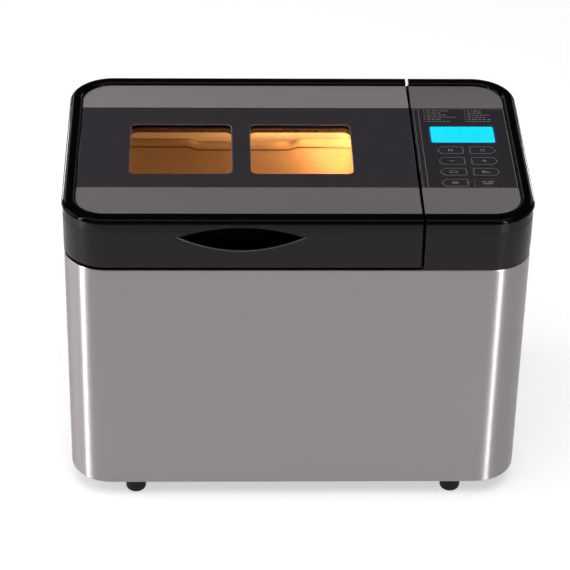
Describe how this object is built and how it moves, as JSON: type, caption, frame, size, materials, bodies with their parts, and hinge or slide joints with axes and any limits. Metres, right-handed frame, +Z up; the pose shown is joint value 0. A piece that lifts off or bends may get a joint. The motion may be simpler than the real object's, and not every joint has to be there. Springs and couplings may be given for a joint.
{
  "type": "bread machine",
  "caption": "Bread machine with a steel-wrapped body, hinged lid with viewing windows, key panel with display, lift-out pan and belt-driven kneading paddles.",
  "frame": {"origin": "on the table under the middle of the machine's outline", "axes": "+X to the right along the machine's length, +Y from the front to the back, +Z up"},
  "size_m": [0.38, 0.23, 0.278],
  "materials": {
    "brushed_steel": "fine horizontal brushing, satin",
    "dark_plastic": "moulded satin charcoal",
    "gloss_black": "polished black",
    "smoked_panel": "smoked charcoal sheet with printed legends",
    "window_glass": "clear heat-proof glass, warm tint",
    "lamp_glass": "clear",
    "lamp_bulb": "warm frosted",
    "liner_metal": "satin pressed sheet",
    "chamber_steel": "zinc-coated sheet",
    "non_stick": "fine speckled light bronze non-stick coating",
    "element_steel": "heat-darkened tube",
    "bright_steel": "plain bright steel",
    "rubber": "matte",
    "bronze": "sintered bronze",
    "display": "backlit liquid crystal",
    "circuit_board": "solder mask",
    "pulley_plastic": "natural moulded"
  },
  "bodies": {
    "machine": {"body_wrap": "brushed_steel", "base_tray": "dark_plastic", "foot_front_left": "rubber", "foot_front_right": "rubber", "foot_rear_left": "rubber", "foot_rear_right": "rubber", "deck_frame": "dark_plastic", "cord_gland": "rubber", "hinge_pin_left": "bright_steel", "hinge_pin_right": "bright_steel", "control_housing": "dark_plastic", "control_rim": "gloss_black", "control_trim_front": "brushed_steel", "control_trim_rear": "brushed_steel", "control_overlay": "smoked_panel", "display": "display", "control_board": "circuit_board", "oven_chamber": "chamber_steel", "heating_element": "element_steel", "temperature_sensor": "bright_steel", "lamp_glass": "lamp_glass", "lamp_bulb": "lamp_bulb", "pan_mount": "chamber_steel", "drive_plate": "chamber_steel", "bearing_left": "bronze", "bearing_right": "bronze", "drive_belt": "rubber", "link_belt": "rubber", "motor": "chamber_steel", "capacitor": "gloss_black", "power_board": "circuit_board"},
    "lid": {"lid_shell": "dark_plastic", "lid_rim": "gloss_black", "lid_trim_front": "brushed_steel", "lid_trim_rear": "brushed_steel", "window_panel": "smoked_panel", "window_glass": "window_glass", "lid_liner": "liner_metal", "inner_glass": "window_glass", "handle_cup": "gloss_black"},
    "pan": {"bread_pan": "non_stick", "pan_base": "bright_steel"},
    "bail": {"pan_handle": "bright_steel"},
    "drive_right": {"drive_shaft_right": "bright_steel", "driven_pulley": "pulley_plastic"},
    "drive_left": {"drive_shaft_left": "bright_steel", "link_pulley": "pulley_plastic"},
    "motor_drive": {"motor_pulley": "bright_steel"},
    "kneader_left": {"paddle_shaft_left": "bright_steel", "paddle_left": "non_stick"},
    "kneader_right": {"paddle_shaft_right": "bright_steel", "paddle_right": "non_stick"},
    "pause_key": {"key_pause": "smoked_panel"},
    "cycle_key": {"key_cycle": "smoked_panel"},
    "time_down_key": {"key_time_down": "smoked_panel"},
    "time_up_key": {"key_time_up": "smoked_panel"},
    "loaf_size_key": {"key_loaf_size": "smoked_panel"},
    "crust_colour_key": {"key_crust_colour": "smoked_panel"},
    "menu_key": {"key_menu": "smoked_panel"},
    "start_stop_key": {"key_start_stop": "smoked_panel"}
  },
  "joints": [
    {"name": "lid_hinge", "type": "hinge", "parent": "machine", "child": "lid", "pos_m": [-0.046, 0.106, 0.241], "axis": [-1, 0, 0], "range_deg": [0, 88]},
    {"name": "pan_lift", "type": "slide", "parent": "machine", "child": "pan", "axis": [0, 0, 1], "range_m": [0, 0.014]},
    {"name": "handle_swing", "type": "hinge", "parent": "pan", "child": "bail", "pos_m": [-0.0456, 0, 0.218], "axis": [1, 0, 0], "range_deg": [0, 22]},
    {"name": "drive_spin", "type": "hinge", "parent": "machine", "child": "drive_right", "pos_m": [0.0064, 0, 0.04], "axis": [0, 0, 1], "continuous": true},
    {"name": "link_spin", "type": "hinge", "parent": "machine", "child": "drive_left", "pos_m": [-0.0976, 0, 0.04], "axis": [0, 0, 1], "continuous": true},
    {"name": "motor_spin", "type": "hinge", "parent": "machine", "child": "motor_drive", "pos_m": [0.143, 0, 0.04], "axis": [0, 0, 1], "continuous": true},
    {"name": "paddle_spin_left", "type": "hinge", "parent": "pan", "child": "kneader_left", "pos_m": [-0.0976, 0, 0.08], "axis": [0, 0, 1], "continuous": true},
    {"name": "paddle_spin_right", "type": "hinge", "parent": "pan", "child": "kneader_right", "pos_m": [0.0064, 0, 0.08], "axis": [0, 0, 1], "continuous": true},
    {"name": "pause_press", "type": "slide", "parent": "machine", "child": "pause_key", "axis": [0, 0, -1], "range_m": [0, 0.0006], "stiffness_N_per_m": 300, "springref_m": -0.0005},
    {"name": "cycle_press", "type": "slide", "parent": "machine", "child": "cycle_key", "axis": [0, 0, -1], "range_m": [0, 0.0006], "stiffness_N_per_m": 300, "springref_m": -0.0005},
    {"name": "time_down_press", "type": "slide", "parent": "machine", "child": "time_down_key", "axis": [0, 0, -1], "range_m": [0, 0.0006], "stiffness_N_per_m": 300, "springref_m": -0.0005},
    {"name": "time_up_press", "type": "slide", "parent": "machine", "child": "time_up_key", "axis": [0, 0, -1], "range_m": [0, 0.0006], "stiffness_N_per_m": 300, "springref_m": -0.0005},
    {"name": "loaf_size_press", "type": "slide", "parent": "machine", "child": "loaf_size_key", "axis": [0, 0, -1], "range_m": [0, 0.0006], "stiffness_N_per_m": 300, "springref_m": -0.0005},
    {"name": "crust_colour_press", "type": "slide", "parent": "machine", "child": "crust_colour_key", "axis": [0, 0, -1], "range_m": [0, 0.0006], "stiffness_N_per_m": 300, "springref_m": -0.0005},
    {"name": "menu_press", "type": "slide", "parent": "machine", "child": "menu_key", "axis": [0, 0, -1], "range_m": [0, 0.0006], "stiffness_N_per_m": 300, "springref_m": -0.0005},
    {"name": "start_stop_press", "type": "slide", "parent": "machine", "child": "start_stop_key", "axis": [0, 0, -1], "range_m": [0, 0.0006], "stiffness_N_per_m": 300, "springref_m": -0.0005}
  ],
  "couplings": [
    {"joint": "link_spin", "follows": "drive_spin", "ratio": 1},
    {"joint": "motor_spin", "follows": "drive_spin", "ratio": 5.25},
    {"joint": "paddle_spin_left", "follows": "drive_spin", "ratio": 1},
    {"joint": "paddle_spin_right", "follows": "drive_spin", "ratio": 1}
  ]
}
